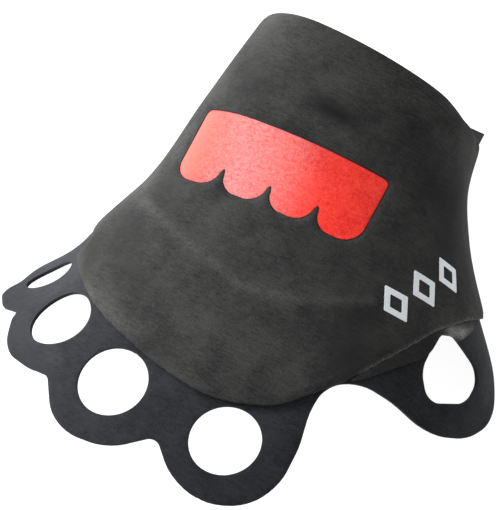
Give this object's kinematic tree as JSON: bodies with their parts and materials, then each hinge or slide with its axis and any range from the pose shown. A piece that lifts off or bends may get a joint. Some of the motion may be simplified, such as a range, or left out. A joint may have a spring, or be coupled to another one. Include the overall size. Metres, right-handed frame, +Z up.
{
  "type": "crack climbing glove",
  "caption": "Crack climbing glove: a formed suede overlay on a thin base layer with finger loops, a thumb loop, a red window and a wrist strap.",
  "frame": {"origin": "centre of the glove's bounding box, on the ground plane it rests on", "axes": "+Z up with the back of the hand on top, -Y towards the fingers, +X to the thumb side"},
  "size_m": [0.1546, 0.1531, 0.0569],
  "materials": {
    "microsuede": "matte",
    "suede": "matte",
    "red_suede": "matte",
    "hook_tape": "matte"
  },
  "bodies": {
    "root": {"finger_panel": "microsuede", "back_panel": "suede", "red_inlay": "red_suede", "thumb_strip": "suede", "wrist_strap": "microsuede", "closure_patch": "hook_tape"}
  },
  "joints": []
}
